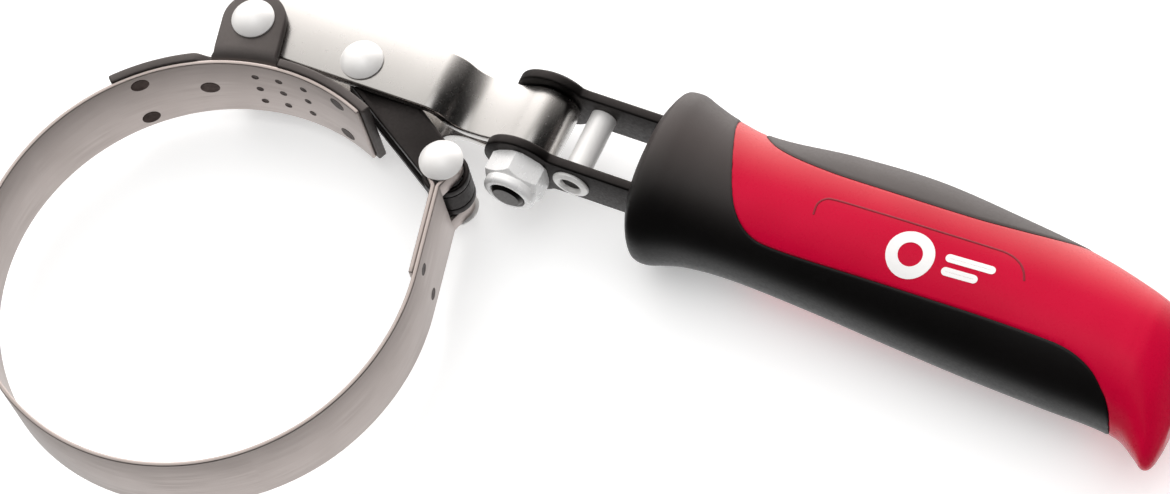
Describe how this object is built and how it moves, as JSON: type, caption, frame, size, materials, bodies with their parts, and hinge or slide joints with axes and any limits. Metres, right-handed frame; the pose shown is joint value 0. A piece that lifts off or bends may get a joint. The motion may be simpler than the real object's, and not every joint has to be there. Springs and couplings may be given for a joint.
{
  "type": "oil filter wrench",
  "caption": "Band oil filter wrench: a spring-steel band is drawn tight by a riveted lever and link, on a grip that swivels in a yoke",
  "frame": {"origin": "centre of the band ring, on the filter's axis, at the middle of the band's width", "axes": "+Z along the filter's axis, +X along the lever and handle, away from the ring, +Y from the ring's centre towards the lever"},
  "size_m": [0.2616, 0.1301, 0.0332],
  "materials": {
    "band_steel": "satin spring steel",
    "black_oxide": "satin black oxide",
    "nickel_rivets": "bright nickel",
    "lever_nickel": "polished nickel",
    "red_plastic": "semi-gloss moulded",
    "black_rubber": "fine matt texture"
  },
  "bodies": {
    "saddle": {"saddle": "black_oxide", "band_anchor": "band_steel", "saddle_pin": "nickel_rivets"},
    "band_1": {"band_1": "band_steel"},
    "band_2": {"band_2": "band_steel"},
    "band_3": {"band_3": "band_steel"},
    "band_4": {"band_4": "band_steel"},
    "band_end": {"band_end": "band_steel", "band_pin": "nickel_rivets"},
    "lever": {"lever": "lever_nickel", "lever_spacer": "lever_nickel", "link_pin": "nickel_rivets"},
    "link": {"link_near": "black_oxide", "link_far": "black_oxide", "link_spacer_upper": "black_oxide", "link_spacer_lower": "black_oxide"},
    "handle": {"yoke_arm_upper": "black_oxide", "yoke_arm_lower": "black_oxide", "swivel_bolt": "black_oxide", "swivel_nut": "nickel_rivets", "cross_rivet": "nickel_rivets", "tang_rivets": "nickel_rivets", "grip_core": "red_plastic", "grip_overmould": "black_rubber", "grip_top_inlay": "black_rubber"}
  },
  "joints": [
    {"name": "lever_pivot", "type": "hinge", "parent": "saddle", "child": "lever", "pos_m": [-0.0146, 0.0593, 0], "axis": [0, 0, 1], "range_deg": [0, 34]},
    {"name": "link_pivot", "type": "hinge", "parent": "lever", "child": "link", "pos_m": [0.0128, 0.0595, 0], "axis": [0, 0, 1], "range_deg": [-51, 0]},
    {"name": "handle_swivel", "type": "hinge", "parent": "lever", "child": "handle", "pos_m": [0.0558, 0.0612, 0], "axis": [0, 1, 0], "range_deg": [-90, 90]},
    {"name": "band_flex_1", "type": "hinge", "parent": "saddle", "child": "band_1", "pos_m": [-0.04021, 0.02921, 0], "axis": [0, 0, 1], "range_deg": [0, 2]},
    {"name": "band_flex_2", "type": "hinge", "parent": "band_1", "child": "band_2", "pos_m": [-0.04861, -0.01033, 0], "axis": [0, 0, 1], "range_deg": [0, 2]},
    {"name": "band_flex_3", "type": "hinge", "parent": "band_2", "child": "band_3", "pos_m": [-0.02485, -0.04304, 0], "axis": [0, 0, 1], "range_deg": [0, 2]},
    {"name": "band_flex_4", "type": "hinge", "parent": "band_3", "child": "band_4", "pos_m": [0.01536, -0.04727, 0], "axis": [0, 0, 1], "range_deg": [0, 2]},
    {"name": "band_flex_5", "type": "hinge", "parent": "band_4", "child": "band_end", "pos_m": [0.0454, -0.02022, 0], "axis": [0, 0, 1], "range_deg": [0, 2]}
  ],
  "couplings": [
    {"joint": "link_pivot", "follows": "lever_pivot", "ratio": -1.4736},
    {"joint": "band_flex_1", "follows": "lever_pivot", "ratio": 0.05527},
    {"joint": "band_flex_2", "follows": "lever_pivot", "ratio": 0.05527},
    {"joint": "band_flex_3", "follows": "lever_pivot", "ratio": 0.05527},
    {"joint": "band_flex_4", "follows": "lever_pivot", "ratio": 0.05527},
    {"joint": "band_flex_5", "follows": "lever_pivot", "ratio": 0.05527}
  ]
}
